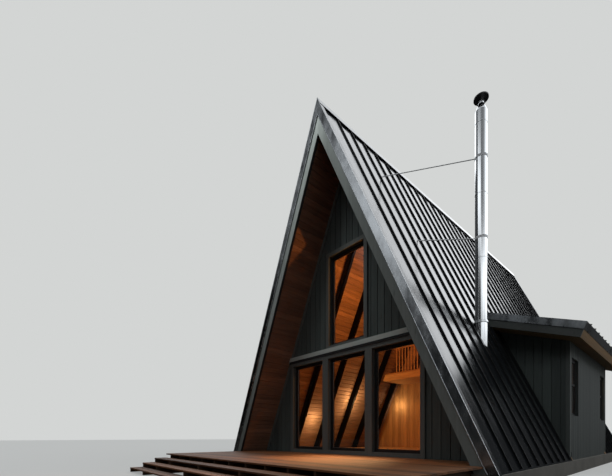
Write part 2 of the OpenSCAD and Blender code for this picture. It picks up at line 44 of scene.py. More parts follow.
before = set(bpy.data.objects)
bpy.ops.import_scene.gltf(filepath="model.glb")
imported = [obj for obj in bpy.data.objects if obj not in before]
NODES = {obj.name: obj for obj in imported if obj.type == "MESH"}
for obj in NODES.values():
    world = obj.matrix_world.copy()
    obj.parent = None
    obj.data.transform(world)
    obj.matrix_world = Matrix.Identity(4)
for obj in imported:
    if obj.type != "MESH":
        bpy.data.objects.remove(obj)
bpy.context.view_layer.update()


def low(node_name):
    """The lowest corner of a CAD node's box."""
    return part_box(node_name)[0]


def high(node_name):
    """The highest corner of a CAD node's box."""
    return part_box(node_name)[1]


X, Y, Z = Vector((1, 0, 0)), Vector((0, 1, 0)), Vector((0, 0, 1))

# Planes that the frame gives
DECK_TOP = high("deck_boards").z
WALL_TOP = high("front_wall_upper").z
FRONT_FACE = low("front_wall_lower").y
FRONT_BACK = high("front_wall_lower").y
REAR_FACE = high("rear_wall").y
REAR_BACK = low("rear_wall").y
WALL_REACH = high("front_wall_lower").x
WALL_DEPTH = FRONT_BACK - FRONT_FACE
WING_FACE = high("wing_side_wall").x
WING_BACK = low("wing_side_wall").x
WING_FRONT = low("wing_end_walls").y
WING_REAR = high("wing_end_walls").y
SLOPE = math.atan2(WALL_TOP - DECK_TOP, WALL_REACH)
WING_SLOPE = math.radians(20)
# The top plane of the rakes meets its mirror image at this height
RAKE_PEAK = high("rake_trims").z
RAKE_METAL_H = 0.155

# Deck boards from front to back, and steps, each two boards deep
DECK_ROWS = 21
STEPS = 3
DECK_PITCH = (high("deck_boards").y - low("deck_boards").y) / DECK_ROWS
TREAD_PITCH = (high("step_treads").y - low("step_treads").y) / (2 * STEPS)
PLANK_THICK = DECK_TOP - low("deck_boards").z

# Boards start this much longer than their wall, and are sunk this far into its face
SPARE = 0.05
SUNK = 0.001
# Points nearer than this lie at the same height
HAIR = 1e-4

# Camera, solved from the rakes, the ridge and the wall base
CAMERA_PLACE = (5.619, -11.647, 0.870)
CAMERA_TURN = (math.radians(90), 0, math.radians(48.559))
CAMERA_LENS_MM = 20.12
CAMERA_SHIFT_Y = 0.324

# Sizes of the marks in timber, along the boards and across them. Growth rings lie in bands of 45 mm, with
# rings of 6 to 12 mm in each. Fibres are about 1.5 mm wide in the real timber and are drawn 5 mm wide, so
# that they show. A knot is 20 to 40 mm across, and each lies in a cell of its own.
RINGS_MM = (1110, 45.5)
FIBRES_MM = (167, 5.26)
KNOT_CELLS_MM = (588, 182)
# Sizes of the marks on a smooth skin: patches of dirt, and the waves that rolling leaves in a sheet
DIRT_MM = 18.2
WAVES_MM = 312.5
# Rain streaks on the coil of the roof, along X, Y and Z
COIL_STREAKS_MM = (455, 182, 1430)

# How much lighter the rake boards are painted at places along X, as (metres, level) pairs: painted light,
# most on the left
RAKE_PAINTED_LIGHT = (
    (-3.6, 1.1), (-2.6, 1.9), (-1.8, 2.7), (-0.8, 2.6), (-0.4, 1.6),
    (-0.1, 1.15), (0.3, 0.8), (0.8, 1.35), (1.5, 1.2), (3.6, 1.15),
)

# Light of the two softboxes by height in the sky, as (height, level) pairs, and their slightly cool colour
FRONT_SOFTBOX = (
    (0.0, 0.03), (0.38, 0.04), (0.47, 1.5), (0.55, 2.2), (0.60, 0.9), (0.66, 0.25), (0.85, 0.25), (0.92, 1.0)
)
BACK_SOFTBOX = ((0.0, 0.03), (0.39, 0.04), (0.45, 2.5), (0.64, 2.1), (0.84, 1.5), (0.90, 1.0))
SKY_COLOUR = (0.97, 1, 1.03)
BACKDROP = "#d3d5d4"


# Colours and nodes


def linear(hex_colour):
    """Turns an sRGB hex colour into the linear colour that a shader takes."""
    parts = [int(hex_colour[i : i + 2], 16) / 255 for i in (1, 3, 5)]
    return (*(p / 12.92 if p <= 0.04045 else ((p + 0.055) / 1.055) ** 2.4 for p in parts), 1)


def tones(colour, *levels):
    """The same colour at several levels, such as late wood, early wood and knots."""
    return [(*(part * level for part in colour[:3]), 1) for level in levels]


def per_metre(*sizes_mm):
    """The scale at which a texture's marks have these real sizes along X, Y and Z."""
    return tuple(1000 / size for size in sizes_mm)


def add(tree, kind, sockets=None, stops=(), **settings):
    """Adds one shader node with its settings and, for a colour ramp, its stops as (place, colour) pairs.

    Each socket takes a value, another node's output, or a node, whose first output is then meant.
    """
    made = tree.nodes.new("ShaderNode" + kind)
    for name, value in settings.items():
        setattr(made, name, value)
    if stops:
        elements = made.color_ramp.elements
        while len(elements) < len(stops):
            elements.new(0.5)
        for element, (place, colour) in zip(elements, stops):
            element.position, element.color = place, colour
    for name, value in (sockets or {}).items():
        source = value.outputs[0] if isinstance(value, bpy.types.Node) else value
        if isinstance(source, bpy.types.NodeSocket):
            tree.links.new(source, made.inputs[name])
        else:
            made.inputs[name].default_value = source
    return made


def start_finish(name):
    """Starts a material: its empty tree, and the Object coordinates that its patterns are drawn on."""
    material = bpy.data.materials.new(name)
    material.use_nodes = True
    tree = material.node_tree
    tree.nodes.clear()
    return tree, add(tree, "TexCoord").outputs["Object"]


def timber(name, row, colour, rough, tone, bump=0.25, contrast=0.25, knots=0.5, ior=1.5, light_along_x=()):
    """Sawn or planed boards: grain that runs along each board, its own tone for each board, and knots.

    row holds the axis across the boards, the axis along them, one board's width with its joint, and where
    the first board begins. contrast is how far late and early wood part from the middle tone, and the levels
    along X, such as the rake boards' ones, are painted light that makes boards lighter by their place along
    X.
    """
    across, along, coverage, start = row
    tree, place = start_finish(name)
    late, middle, early, dark = tones(colour, 1 - contrast, 1, 1 + contrast, 0.4)
    sideways = add(tree, "VectorMath", {0: place, 1: across}, operation="DOT_PRODUCT").outputs["Value"]
    shifted = add(tree, "Math", {0: sideways, 1: start}, operation="SUBTRACT")
    count = add(tree, "Math", {0: shifted, 1: coverage}, operation="DIVIDE")
    board = add(tree, "Math", {0: count}, operation="FLOOR")
    chance = add(tree, "TexWhiteNoise", {"W": board}, noise_dimensions="1D").outputs
    # each board is cut from its own place in a log up to 17 m long
    jump = add(tree, "VectorMath", {0: chance["Color"], "Scale": 17}, operation="SCALE")
    moved = add(tree, "VectorMath", {0: place, 1: jump}, operation="ADD")
    rings_place, fibres_place, knots_place = (
        add(tree, "Mapping", {
            "Vector": moved,
            "Scale": per_metre(*(length_mm if abs(part) > 0.5 else width_mm for part in along)),
        })
        for length_mm, width_mm in (RINGS_MM, FIBRES_MM, KNOT_CELLS_MM)
    )
    rings = add(tree, "TexNoise", {
        "Vector": rings_place, "Scale": 1, "Detail": 3, "Roughness": 0.55, "Distortion": 0.8,
    })
    fibres = add(tree, "TexNoise", {"Vector": fibres_place, "Scale": 1, "Detail": 2})
    grain = add(tree, "Mix", {"Factor": 0.35, 2: rings, 3: fibres}, data_type="FLOAT")
    wood = add(tree, "ValToRGB", {"Fac": grain}, stops=((0.32, late), (0.5, middle), (0.68, early)))
    knot = add(tree, "TexVoronoi", {"Vector": knots_place, "Scale": 1, "Randomness": 1})
    knot_mask = add(tree, "MapRange", {
        "Value": knot, "From Min": 0.05, "From Max": 0.13, "To Min": knots, "To Max": 0,
    })
    spotted = add(tree, "Mix", {"Factor": knot_mask, 6: wood, 7: dark}, data_type="RGBA").outputs[2]
    level = add(tree, "MapRange", {"Value": chance["Value"], "To Min": 1 - tone, "To Max": 1 + tone})
    toned = add(tree, "VectorMath", {0: spotted, "Scale": level}, operation="SCALE")
    # painted light: the tone is scaled by place along X, lighter where more light falls on the boards
    if light_along_x:
        reach = 4
        share = add(tree, "MapRange", {
            "Value": add(tree, "SeparateXYZ", {0: place}), "From Min": -reach, "From Max": reach,
        })
        stops = [((metres + reach) / (2 * reach), tones((1, 1, 1), pale)[0]) for metres, pale in light_along_x]
        painted_light_ramp = add(tree, "ValToRGB", {"Fac": share}, stops=stops)
        toned = add(tree, "VectorMath", {0: toned, 1: painted_light_ramp}, operation="MULTIPLY")
    height = add(tree, "Math", {0: grain, 1: knot_mask}, operation="SUBTRACT")
    surface = add(tree, "BsdfPrincipled", {
        "IOR": ior,
        "Base Color": toned,
        "Roughness": add(tree, "MapRange", {"Value": grain, "To Min": rough[0], "To Max": rough[1]}),
        "Normal": add(tree, "Bump", {"Strength": bump, "Distance": 0.002, "Height": height}),
    })
    add(tree, "OutputMaterial", {"Surface": surface})


def smooth_skin(
    name, colour, rough, streaks_mm, wave=0.0, metallic=0.0, speck=0.02, contrast=0.35, painted=None, ior=1.5
):
    """Sheet, paint or rubber: faint waves from rolling, streaks down the fall, dirt and uneven gloss.

    painted is the colour of faces that look up or sideways; the faces that look along Y take a bright bare
    metal, a painted sheen.
    """
    tree, place = start_finish(name)
    dull, middle, bright = tones(colour, 1 - contrast, 1, 1 + contrast)
    streak_place = add(tree, "Mapping", {"Vector": place, "Scale": per_metre(*streaks_mm)})
    streaks = add(tree, "TexNoise", {"Vector": streak_place, "Scale": 1, "Detail": 5, "Roughness": 0.6})
    dirt = add(tree, "TexNoise", {"Vector": place, "Scale": 1000 / DIRT_MM, "Detail": 3, "Roughness": 0.7})
    mixed = add(tree, "Mix", {"Factor": 0.15, 2: streaks, 3: dirt}, data_type="FLOAT")
    base = add(tree, "ValToRGB", {"Fac": mixed}, stops=((0.3, dull), (0.55, middle), (0.75, bright)))
    gloss = add(tree, "MapRange", {
        "Value": mixed, "From Min": 0.3, "From Max": 0.7, "To Min": rough[0], "To Max": rough[1],
    })
    # the waves are well under a millimetre deep
    waves = add(tree, "TexNoise", {"Vector": place, "Scale": 1000 / WAVES_MM, "Detail": 1})
    rolled = add(tree, "Bump", {"Strength": wave, "Distance": 0.01, "Height": waves})
    bump = add(tree, "Bump", {"Strength": speck, "Distance": 0.001, "Height": dirt, "Normal": rolled})
    # painted sheen: faces that look along Y get bright bare metal, and the others keep the paint
    if painted is not None:
        normal = add(tree, "NewGeometry").outputs["True Normal"]
        facing = add(tree, "VectorMath", {0: normal, 1: Y}, operation="DOT_PRODUCT").outputs["Value"]
        size = add(tree, "Math", {0: facing}, operation="ABSOLUTE")
        metallic = add(tree, "Math", {0: size, 1: 0.5}, operation="GREATER_THAN")
        paint = tones(painted, 1)[0]
        base = add(tree, "Mix", {"Factor": metallic, 6: paint, 7: base}, data_type="RGBA").outputs[2]
    surface = add(tree, "BsdfPrincipled", {
        "Metallic": metallic, "IOR": ior, "Base Color": base, "Roughness": gloss, "Normal": bump,
    })
    add(tree, "OutputMaterial", {"Surface": surface})


def clear_glazing():
    """Float glass in a sealed unit: clear from the front, mirror-like at a low angle, faintly dusty."""
    tree, place = start_finish("float_glass")
    # rain marks run down the pane, 20 to 60 mm wide
    marks_place = add(tree, "Mapping", {"Vector": place, "Scale": per_metre(41.7, 41.7, 500)})
    marks = add(tree, "TexNoise", {"Vector": marks_place, "Scale": 1, "Detail": 4})
    film = add(tree, "MapRange", {
        "Value": marks, "From Min": 0.4, "From Max": 0.8, "To Min": 0, "To Max": 0.06,
    })
    clear = add(tree, "BsdfTransparent", {"Color": linear("#f1f6f3")})
    mirror = add(tree, "BsdfGlossy", {"Color": linear("#f4f8fb"), "Roughness": film})
    # two panes reflect about as much as one surface of a denser glass, and only a front face reflects
    mirrored = add(tree, "Fresnel", {"IOR": 1.6})
    inside = add(tree, "NewGeometry").outputs["Backfacing"]
    outside = add(tree, "Math", {0: 1, 1: inside}, operation="SUBTRACT")
    share = add(tree, "Math", {0: mirrored, 1: outside}, operation="MULTIPLY")
    add(tree, "OutputMaterial", {"Surface": add(tree, "MixShader", {"Fac": share, 1: clear, 2: mirror})})


def cast_concrete():
    """Cast concrete: a cement skin with pores and the faint lines of a broom or of form boards."""
    tree, place = start_finish("cast_concrete")
    dark, middle, pale = tones(linear("#6f6d67"), 0.75, 1, 1.3)
    blotch_mm, grain_mm, line_mm = 625, 4, 16.7
    blotches = add(tree, "TexNoise", {
        "Vector": place, "Scale": 1000 / blotch_mm, "Detail": 6, "Roughness": 0.6,
    })
    grains = add(tree, "TexNoise", {"Vector": place, "Scale": 1000 / grain_mm, "Detail": 3})
    mixed = add(tree, "Mix", {"Factor": 0.3, 2: blotches, 3: grains}, data_type="FLOAT")
    cement = add(tree, "ValToRGB", {"Fac": mixed}, stops=((0.3, dark), (0.5, middle), (0.7, pale)))
    lines_place = add(tree, "Mapping", {"Vector": place, "Scale": per_metre(1000, 1000, line_mm)})
    lines = add(tree, "TexNoise", {"Vector": lines_place, "Scale": 1, "Detail": 2})
    height = add(tree, "Math", {0: grains, 1: lines}, operation="ADD")
    bump = add(tree, "Bump", {"Strength": 0.35, "Distance": 0.003, "Height": height})
    surface = add(tree, "BsdfPrincipled", {"Roughness": 0.85, "Base Color": cement, "Normal": bump})
    add(tree, "OutputMaterial", {"Surface": surface})


# Modelling helpers


def pick(obj):
    """Selects one object and nothing else, and makes it the active one."""
    bpy.ops.object.select_all(action="DESELECT")
    obj.select_set(True)
    bpy.context.view_layer.objects.active = obj
    return obj


def settle(obj):
    """Moves an object's place, turn and scale into its mesh."""
    pick(obj)
    bpy.ops.object.transform_apply(location=True, rotation=True, scale=True)
    return obj


def placed(obj, origin, along, out):
    """Turns a piece that was modelled lying flat, its length on Y and its face up, into its own plane."""
    across = along.cross(out)
    rows = [(across[i], along[i], out[i], origin[i]) for i in range(3)]
    obj.matrix_world = Matrix((*rows, (0, 0, 0, 1)))
    return settle(obj)


def block(name, corner, opposite):
    """A start for a board: a closed block between two corners."""
    a, b = Vector(corner), Vector(opposite)
    bpy.ops.object.select_all(action="DESELECT")
    bpy.ops.mesh.primitive_cube_add(size=1, location=(a + b) / 2, scale=b - a)
    obj = bpy.context.object
    obj.name = obj.data.name = name
    return settle(obj)


def running(axis, above=-math.inf):
    """A test for edges that run along an axis and lie over a height."""
    return lambda middle, way: abs(way.dot(axis)) > 0.9 and middle.z > above


def ease_edges(obj, chosen, width, segments=1):
    """Bevels the edges that a test picks by their middle and direction."""
    pick(obj)
    bpy.ops.object.mode_set(mode="EDIT")
    bpy.ops.mesh.select_mode(type="EDGE")
    bpy.ops.mesh.select_all(action="DESELECT")
    bpy.ops.object.mode_set(mode="OBJECT")
    points = [v.co for v in obj.data.vertices]
    for edge in obj.data.edges:
        a, b = (points[i] for i in edge.vertices)
        edge.select = chosen((a + b) / 2, (b - a).normalized())
    bpy.ops.object.mode_set(mode="EDIT")
    bpy.ops.mesh.bevel(offset=width, segments=segments, affect="EDGES")
    bpy.ops.object.mode_set(mode="OBJECT")
    return obj


def row_of(obj, step, count):
    """Repeats a piece in a row, each copy with its own mesh in the one object."""
    if count > 1:
        repeat = obj.modifiers.new("row", "ARRAY")
        repeat.use_relative_offset = False
        repeat.use_constant_offset = True
        repeat.constant_offset_displace = step
        repeat.count = count
        pick(obj)
        bpy.ops.object.modifier_apply(modifier=repeat.name)
    return obj


def joined(name, objects):
    """Joins objects into one named piece."""
    pick(objects[0])
    for obj in objects[1:]:
        obj.select_set(True)
    if len(objects) > 1:
        bpy.ops.object.join()
    objects[0].name = objects[0].data.name = name
    return objects[0]


def copies_at(obj, places):
    """Copies a piece to several places and joins the copies."""
    copies = []
    for place in places:
        copy = obj.copy()
        copy.data = obj.data.copy()
        bpy.context.scene.collection.objects.link(copy)
        copy.location = place
        copies.append(settle(copy))
    bpy.data.objects.remove(obj)
    return joined("copies", copies)


def outline_of(node_names, move=(0, 0, 0)):
    """A merged copy of CAD nodes, moved, to cut boards with."""
    copies = []
    for node_name in node_names:
        copy = NODES[node_name].copy()
        copy.data = NODES[node_name].data.copy()
        for key in list(copy.keys()):
            del copy[key]
        copy.parent = None
        bpy.context.scene.collection.objects.link(copy)
        copies.append(copy)
    cutter = joined("cutter", copies)
    bpy.ops.object.mode_set(mode="EDIT")
    bpy.ops.mesh.select_all(action="SELECT")
    bpy.ops.mesh.remove_doubles(threshold=1e-5)
    bpy.ops.object.mode_set(mode="OBJECT")
    cutter.location = Vector(move)
    return settle(cutter)


def boxes_of(node_name):
    """The lowest and highest corners of each separate solid of a CAD node."""
    pick(outline_of([node_name]))
    bpy.ops.mesh.separate(type="LOOSE")
    boxes = []
    for part in list(bpy.context.selected_objects):
        points = [v.co for v in part.data.vertices]
        boxes.append([Vector(pick_end(p[i] for p in points) for i in range(3)) for pick_end in (min, max)])
        bpy.data.objects.remove(part)
    return sorted(boxes, key=lambda box: tuple(box[0]))


def cut(obj, node_names, move=(0, 0, 0)):
    """Cuts a piece to the outline of CAD nodes."""
    cutter = outline_of(node_names, move)
    change = obj.modifiers.new("outline", "BOOLEAN")
    change.operation = "INTERSECT"
    change.solver = "EXACT"
    change.object = cutter
    pick(obj)
    bpy.ops.object.modifier_apply(modifier=change.name)
    bpy.data.objects.remove(cutter)
    return obj


def board_row(cutters, origin, along, out, run, span, cover, gap, depth, chamfer, push=0.06):
    """Boards side by side in a plane, cut to the outline of CAD nodes.

    along is the way they run and out is the way they face. run is the number of the first board from the
    origin and how many there are, span is where they begin and end, and depth is how far they reach under
    and over the plane. The outline is pushed outwards, so that the boards on its face lie inside it.
    """
    under, over = depth
    left = run[0] * cover + gap / 2
    board = block("board", (left, span[0], -under), (left + cover - gap, span[1], over))
    ease_edges(board, running(Y, over - HAIR), chamfer)
    row_of(board, (cover, 0, 0), run[1])
    placed(board, origin, along, out)
    return cut(board, cutters, out * push)


def boarded_walls(walls, style):
    """Covers walls with upright boards: for each piece its name, its finish, its slot, which is not used, and
    its rows.

    A row is a CAD wall, the origin on its face, the way it faces, and the number of its first board with how
    many there are.
    """
    for name, finish, slot_name, rows in walls:
        parts = []
        for wall, origin, out, run in rows:
            span = low(wall).z - SPARE, high(wall).z + SPARE
            parts.append(board_row([wall], origin, Z, out, run, span, **style))
        piece(name, parts, finish)


def strip(start, end, out, width, thick, radius):
    """A bent or planed strip between two points with its long edges rounded. out is the way it faces."""
    along = end - start
    bar = block("strip", (-width / 2, 0, -thick / 2), (width / 2, along.length, thick / 2))
    ease_edges(bar, running(Y), radius, segments=2)
    return placed(bar, start, along.normalized(), out)


def roof_normal(side):
    """The way that the main roof faces on its left side, -1, or its right side, 1."""
    return Vector((side * math.sin(SLOPE), 0, math.cos(SLOPE)))


def mitred(obj, side):
    """Ends a piece on the upright plane under the ridge."""
    pick(obj)
    bpy.ops.object.mode_set(mode="EDIT")
    bpy.ops.mesh.select_all(action="SELECT")
    bpy.ops.mesh.bisect(plane_co=(0, 0, 0), plane_no=(side, 0, 0), use_fill=True, clear_inner=True)
    bpy.ops.object.mode_set(mode="OBJECT")
    return obj


def up_the_rake(foot, peak, y, side, out, width, thick, radius, move=(0, 0, 0)):
    """A strip up one side of a gable, from a height at its foot to one under the ridge, mitred there."""
    past = 0.06
    start = Vector((side * (peak - foot) / math.tan(SLOPE), y, foot)) + Vector(move)
    end = Vector((-side * past, y, peak + past * math.tan(SLOPE))) + Vector(move)
    return mitred(strip(start, end, out, width, thick, radius), side)


def surround(rect, width, near, far, way, radius):
    """Four bars just inside a rectangle (left, right, bottom, top) in a wall that runs along X or Y."""
    left, right, bottom, top = rect
    bars = []
    for u0, u1, z0, z1, run in (
        (left, left + width, bottom, top, Z),
        (right - width, right, bottom, top, Z),
        (left + width, right - width, bottom, bottom + width, way),
        (left + width, right - width, top - width, top, way),
    ):
        corners = [(u, v, z) if way == X else (v, u, z) for u, v, z in ((u0, near, z0), (u1, far, z1))]
        bars.append(ease_edges(block("bar", *corners), running(run), radius))
    return bars


def ring(place, radius, height, roll):
    """A rolled band round an upright pipe."""
    bpy.ops.object.select_all(action="DESELECT")
    bpy.ops.mesh.primitive_cylinder_add(vertices=48, radius=radius, depth=height, location=place)
    band = settle(bpy.context.object)

    def at_rim(middle, way):
        return abs(abs(middle.z - place[2]) - height / 2) < HAIR

    return ease_edges(band, at_rim, roll, segments=3)


def piece(name, parts, finish, replaced=()):
    """Joins parts into a named piece, gives it its finish and its body, and hides the CAD nodes that it
    replaces.
    """
    obj = joined(name, parts)
    obj.data.materials.clear()
    obj.data.materials.append(bpy.data.materials[finish])
    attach(obj, "root")
    if replaced:
        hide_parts(*replaced)


# Settings


def length_setting(label, description, default, least, most):
    """A size that a user may change between two limits."""
    return bpy.props.FloatProperty(
        name=label, description=description, default=default, min=least, max=most, unit="LENGTH"
    )


def colour_setting(label, description, hex_colour):
    """A colour that a user may change."""
    return bpy.props.FloatVectorProperty(
        name=label, description=description, default=linear(hex_colour)[:3], min=0, max=1,
        size=3, subtype="COLOR",
    )


def power_setting(label, description):
    """A strength of light that a user may change."""
    return bpy.props.FloatProperty(
        name=label, description=description, default=1.0, min=0.0, max=5.0, subtype="FACTOR"
    )


class CabinBoards(bpy.types.PropertyGroup):
    """Sizes of the boards and strips that cover the cabin."""

    wall_coverage: length_setting("Wall board", "Width that one wall board covers", 0.186, 0.1, 0.3)
    wall_groove: length_setting("Wall groove", "Width of the groove between wall boards", 0.013, 0.004, 0.02)
    wall_thickness: length_setting("Wall thickness", "How far boards stand off the wall", 0.018, 0.01, 0.03)
    lining_coverage: length_setting("Lining board", "Width that one lining board covers", 0.135, 0.08, 0.2)
    lining_chamfer: length_setting("Lining joint", "Chamfer on each side of a joint", 0.008, 0.002, 0.01)
    floor_coverage: length_setting("Floor board", "Width that one floor board covers", 0.14, 0.08, 0.25)
    deck_gap: length_setting("Deck gap", "Gap between deck boards", 0.007, 0.003, 0.012)
    pan_lift: length_setting("Pan height", "How far pans lie above the packed ones", 0.014, 0.007, 0.025)
    hem_width: length_setting("Hem", "Width of the folded hems on the rakes", 0.012, 0.006, 0.02)


class CabinColours(bpy.types.PropertyGroup):
    """Colours of the finishes and strengths of the light."""

    boards: colour_setting("Wall boards", "Stain on the wall boards", "#414947")
    trim: colour_setting("Trims", "Stain on trims, posts and rake boards", "#545957")
    cedar: colour_setting("Lining", "Oiled cedar on the underside of the roof", "#7c5d4b")
    inner: colour_setting("Inner boards", "Oiled boards on the walls and floors", "#b07b4a")
    deck: colour_setting("Deck", "Weathered deck boards", "#6b462a")
    metal: colour_setting("Roof metal", "Baked paint on the roof", "#202326")
    glow_power: power_setting("Glow", "Power of the warm light indoors")
    sky_power: power_setting("Sky", "Power of the soft studio sky")


# Finishes


def stained_timbers(boards, colours):
    """Spruce outside, in two coats of opaque grey-green stain: dull, and the grain just shows through."""
    cover = boards.wall_coverage
    sawn = {"rough": (0.55, 0.75), "tone": 0.2, "bump": 0.35, "contrast": 0.22}
    timber("stained_boards_across_front", (X, Z, cover, -20 * cover), colours.boards, **sawn)
    # the wing's side boards are painted darker than the front ones: painted shade for the side that lies in
    # shade
    painted_shade_tone = tones(colours.boards, 0.7)[0]
    timber("painted_shade_boards_along_side", (Y, Z, cover, WING_FRONT), painted_shade_tone, **sawn)
    # trims are planed, and each keeps one tone over 4 m
    planed = {"rough": (0.5, 0.68), "tone": 0.05, "bump": 0.25, "contrast": 0.14}
    for name, across, along, level, light_along_x in (
        ("stained_trim_upright", X, Z, 1, ()),
        # the wing's boards are painted darker than the other trims: painted shade for the shade under the
        # wing's eaves
        ("painted_shade_trim_side", Z, Y, 0.6, ()),
        # rake boards are painted lighter than the other trims, most of all on the open left side: painted
        # light for how the light falls on them
        ("painted_light_rake_trim", X, Z, 1.7, RAKE_PAINTED_LIGHT),
        # the belly bands are painted nearly grey, much lighter than the other trims: painted light for the
        # sky that falls on their faces
        ("painted_light_band_trim", Z, X, 4.6, ()),
    ):
        timber(name, (across, along, 4, -10), tones(colours.trim, level)[0], light_along_x=light_along_x, **planed)


def oiled_timbers(boards, colours):
    """Oiled cedar and softwood: warm, a little shiny, with change from board to board."""
    # western red cedar, planed, on the underside of the roofs
    cedar = {"colour": colours.cedar, "rough": (0.38, 0.6), "bump": 0.2}
    cover = boards.lining_coverage
    step_z = cover * math.sin(SLOPE)
    timber("oiled_cedar_lining", (Z, Y, step_z, WALL_TOP - 80 * step_z), tone=0.22, contrast=0.35, **cedar)
    timber("oiled_cedar_eaves", (X, Y, 0.13, 0), tone=0.2, contrast=0.3, **cedar)
    # softwood indoors, paler and more orange than the cedar, and shinier where feet have polished it
    inner = {"colour": colours.inner, "contrast": 0.3}
    timber("oiled_upright_boards", (X + Y, Z, cover, 0), rough=(0.4, 0.6), tone=0.2, **inner)
    timber("oiled_beam_timber", (Z, X, 0.1, 0), rough=(0.4, 0.6), tone=0.12, **inner)
    cover = boards.floor_coverage
    timber("oiled_floor_boards", (X, Y, cover, -5 * cover), rough=(0.28, 0.45), tone=0.18, bump=0.12, **inner)
    # red cedar decking, weathered and oiled again, so its boards differ most
    decking = {"rough": (0.45, 0.7), "tone": 0.48, "bump": 0.5, "contrast": 0.38, "knots": 0.45}
    timber("weathered_cedar_deck", (Y, X, DECK_PITCH, low("deck_boards").y), colours.deck, **decking)
    timber("weathered_cedar_treads", (Y, X, TREAD_PITCH, low("step_treads").y), colours.deck, **decking)


def plain_timbers():
    """Structural timber, which shows only in part."""
    # pressure-treated pine framing, browned by the weather
    timber("treated_pine_framing", (Z, Y, 0.3, 0), linear("#4b3829"), (0.65, 0.85), tone=0.1, bump=0.4)
    # Douglas fir stained black: nearly no colour, a soft sheen on planed faces
    black = linear("#080707")
    timber("black_stained_fir", (Y, Z, 1.03, -6), black, (0.6, 0.8), tone=0.1, knots=0.4, ior=1.15)
    # spruce plywood sheathing, seen only where the roof is cut
    timber("spruce_sheathing", (Z, Y, 1.22, 0), linear("#876a46"), (0.6, 0.8), tone=0.08, bump=0.3, knots=0.4)


def roof_metals(colours):
    """One coil of steel with baked charcoal paint, as bending and wear leave it, with lighter and darker
    copies that paint sheen and shade.
    """
    # roll-formed pans: they mirror a bright sky at a low angle, and are nearly black else
    smooth_skin("baked_charcoal_steel", colours.metal, (0.07, 0.2), COIL_STREAKS_MM, wave=0.03)
    # trims bent in a brake, with stronger streaks and more uneven gloss; the faces that look along Y are
    # bright bare metal, a painted sheen
    bent = {"streaks_mm": (200, 200, 385), "wave": 0.16, "metallic": 1.0, "speck": 0.03, "contrast": 0.6}
    smooth_skin("bent_charcoal_steel_painted_sheen", linear("#aeb2b5"), (0.13, 0.32), painted=colours.metal, **bent)
    # the same on the wing, darker and duller: painted shade for the wing's shaded end
    smooth_skin("painted_shade_wing_steel", linear("#85898c"), (0.2, 0.4), painted=colours.metal, **bent)
    # folded edges, rubbed bare, so they catch a thin bright line
    rubbed = {"streaks_mm": (167, 167, 333), "metallic": 1.0, "contrast": 0.3}
    smooth_skin("rubbed_hem_steel", linear("#c6cacd"), (0.2, 0.34), **rubbed)
    # seams get a darker, duller copy of the pans' paint: painted shade, so that they read as dark lines
    # between the pans
    smooth_skin("painted_shade_seam_steel", linear("#0d0e0f"), (0.42, 0.6), COIL_STREAKS_MM, ior=1.22)


def fittings():
    """Metals, paints and rubber on the small parts."""
    for name, colour, rough, streaks_mm, look in (
        # window frames: powder coat with a fine even bloom
        ("black_powder_coat", "#0d0e0f", (0.35, 0.5), (250, 250, 250), {"speck": 0.05}),
        # moulded rubber: dull black; the same black paints the shadow on the strips under the belly bands and
        # rake boards
        ("black_rubber_and_painted_shadow", "#0a0a0a", (0.6, 0.8), (111, 111, 111), {"speck": 0.1}),
        # mill-finish spacers between the panes: pale, thin bright lines
        ("mill_aluminium", "#9b9ea0", (0.35, 0.5), (33.3, 33.3, 33.3), {"metallic": 1.0, "contrast": 0.1}),
        # polished flue pipe, drawn upright, so it mirrors in tall streaks
        (
            "polished_stainless", "#cdd0d2", (0.08, 0.2), (41.7, 41.7, 5000),
            {"wave": 0.05, "metallic": 1.0, "contrast": 0.45},
        ),
        # hot-dip galvanised stays: pale and dull
        (
            "galvanised_steel", "#cfd2d4", (0.45, 0.6), (50, 50, 50),
            {"metallic": 0.2, "speck": 0.05, "contrast": 0.15},
        ),
        # stove enamel on the cap: black, with an eggshell sheen
        ("black_stove_enamel", "#0a0b0c", (0.4, 0.55), (333, 333, 333), {"speck": 0.05}),
        # coated deck screws: dark bronze
        ("coated_screw_steel", "#3a332c", (0.35, 0.55), (16.7, 16.7, 16.7), {"metallic": 0.6, "speck": 0.05}),
    ):
        smooth_skin(name, linear(colour), rough, streaks_mm, **look)


